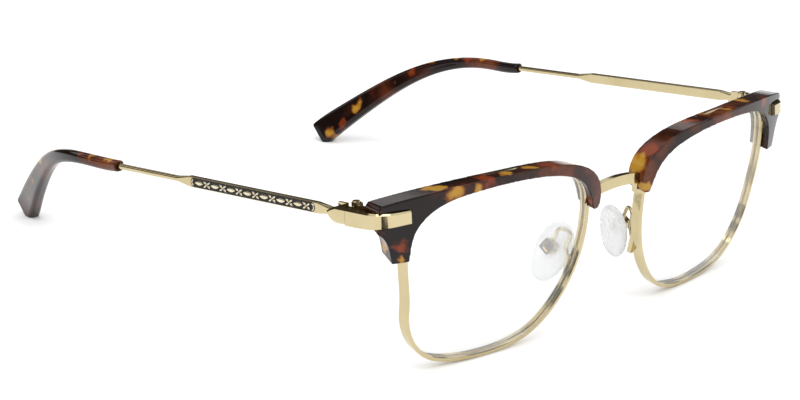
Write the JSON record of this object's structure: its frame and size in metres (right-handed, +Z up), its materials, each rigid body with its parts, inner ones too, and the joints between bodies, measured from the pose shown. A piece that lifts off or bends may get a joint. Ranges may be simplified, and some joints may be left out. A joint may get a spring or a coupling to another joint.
{
  "type": "half rim eyeglasses",
  "caption": "Browline half rim eyeglasses: tortoise acetate brows and temple tips over thin gold metal rims, arched bridge, clear nose pads and hinged temples.",
  "frame": {"origin": "middle of the whole length and width, on the table plane the open glasses stand on", "axes": "+X to the wearer's left, +Y from the lenses back along the temples, +Z up"},
  "size_m": [0.1436, 0.1621, 0.0448],
  "materials": {
    "brow_acetate": "polished tortoise acetate",
    "tip_acetate": "polished tortoise acetate",
    "clear_lens": "clear polished lens",
    "clear_silicone": "clear silicone",
    "black_enamel": "black enamel with raised gold ornament",
    "screw_gold": "polished",
    "pale_gold": "polished pale gold plating"
  },
  "bodies": {
    "front": {"bridge": "pale_gold", "brow_screws": "screw_gold", "hinge_screws": "screw_gold", "left_brow": "brow_acetate", "left_endpiece": "pale_gold", "left_front_hinge_leaf": "pale_gold", "left_lens": "clear_lens", "left_lower_rim_block": "pale_gold", "left_pad_arm": "pale_gold", "left_pad_box": "pale_gold", "left_rim": "pale_gold", "left_upper_rim_block": "pale_gold", "pad_screws": "screw_gold", "right_brow": "brow_acetate", "right_endpiece": "pale_gold", "right_front_hinge_leaf": "pale_gold", "right_lens": "clear_lens", "right_lower_rim_block": "pale_gold", "right_pad_arm": "pale_gold", "right_pad_box": "pale_gold", "right_rim": "pale_gold", "right_upper_rim_block": "pale_gold", "rim_screws": "screw_gold"},
    "left_temple": {"left_temple_hinge_leaf": "pale_gold", "left_temple_arm": "pale_gold", "left_enamel_panel": "black_enamel", "left_temple_tip": "tip_acetate"},
    "right_temple": {"right_temple_hinge_leaf": "pale_gold", "right_temple_arm": "pale_gold", "right_enamel_panel": "black_enamel", "right_temple_tip": "tip_acetate"},
    "left_pad": {"left_nose_pad": "clear_silicone"},
    "right_pad": {"right_nose_pad": "clear_silicone"}
  },
  "joints": [
    {"name": "left_temple_fold", "type": "hinge", "parent": "front", "child": "left_temple", "pos_m": [0.06775, -0.06265, 0.038], "axis": [0, 0.0958, 0.9954], "range_deg": [0, 86]},
    {"name": "right_temple_fold", "type": "hinge", "parent": "front", "child": "right_temple", "pos_m": [-0.06775, -0.06265, 0.038], "axis": [0, -0.0958, -0.9954], "range_deg": [0, 74]},
    {"name": "left_pad_rock", "type": "hinge", "parent": "front", "child": "left_pad", "pos_m": [0.01245, -0.06975, 0.01974], "axis": [0.0092, 0.8303, 0.5572], "range_deg": [-7, 7]},
    {"name": "right_pad_rock", "type": "hinge", "parent": "front", "child": "right_pad", "pos_m": [-0.01245, -0.06975, 0.01974], "axis": [0.0092, -0.8303, -0.5572], "range_deg": [-7, 7]}
  ]
}
